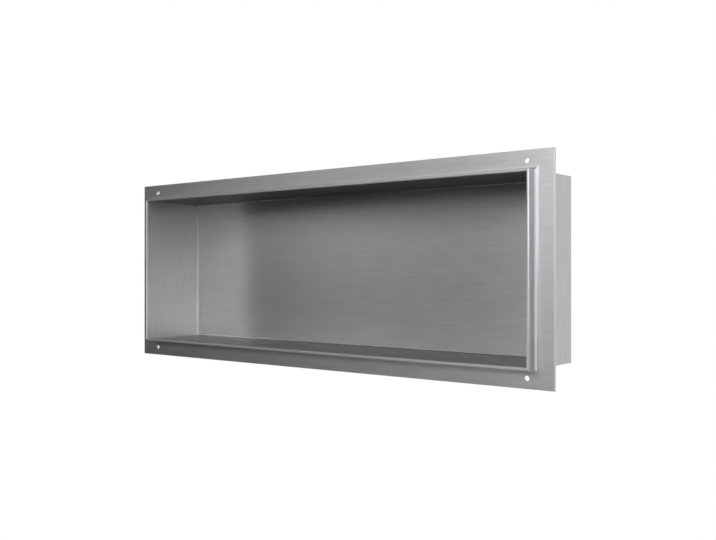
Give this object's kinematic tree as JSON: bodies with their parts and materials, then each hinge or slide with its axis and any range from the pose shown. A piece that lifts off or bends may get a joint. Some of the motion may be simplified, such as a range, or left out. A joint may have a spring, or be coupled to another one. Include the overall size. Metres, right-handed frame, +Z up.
{
  "type": "shower niche insert",
  "caption": "Open-fronted rectangular wall niche of brushed stainless sheet, whose walls stand proud in front as a rim for the tile edge, with a screw flange set back round it.",
  "frame": {"origin": "centre of the screw hole pattern, on the back face of the flange that lies on the wall", "axes": "+X to the right as seen from the room, +Y into the wall, +Z up"},
  "size_m": [0.648, 0.103, 0.248],
  "materials": {
    "brushed_stainless": "brushed, satin"
  },
  "bodies": {
    "root": {"niche_insert": "brushed_stainless"}
  },
  "joints": []
}
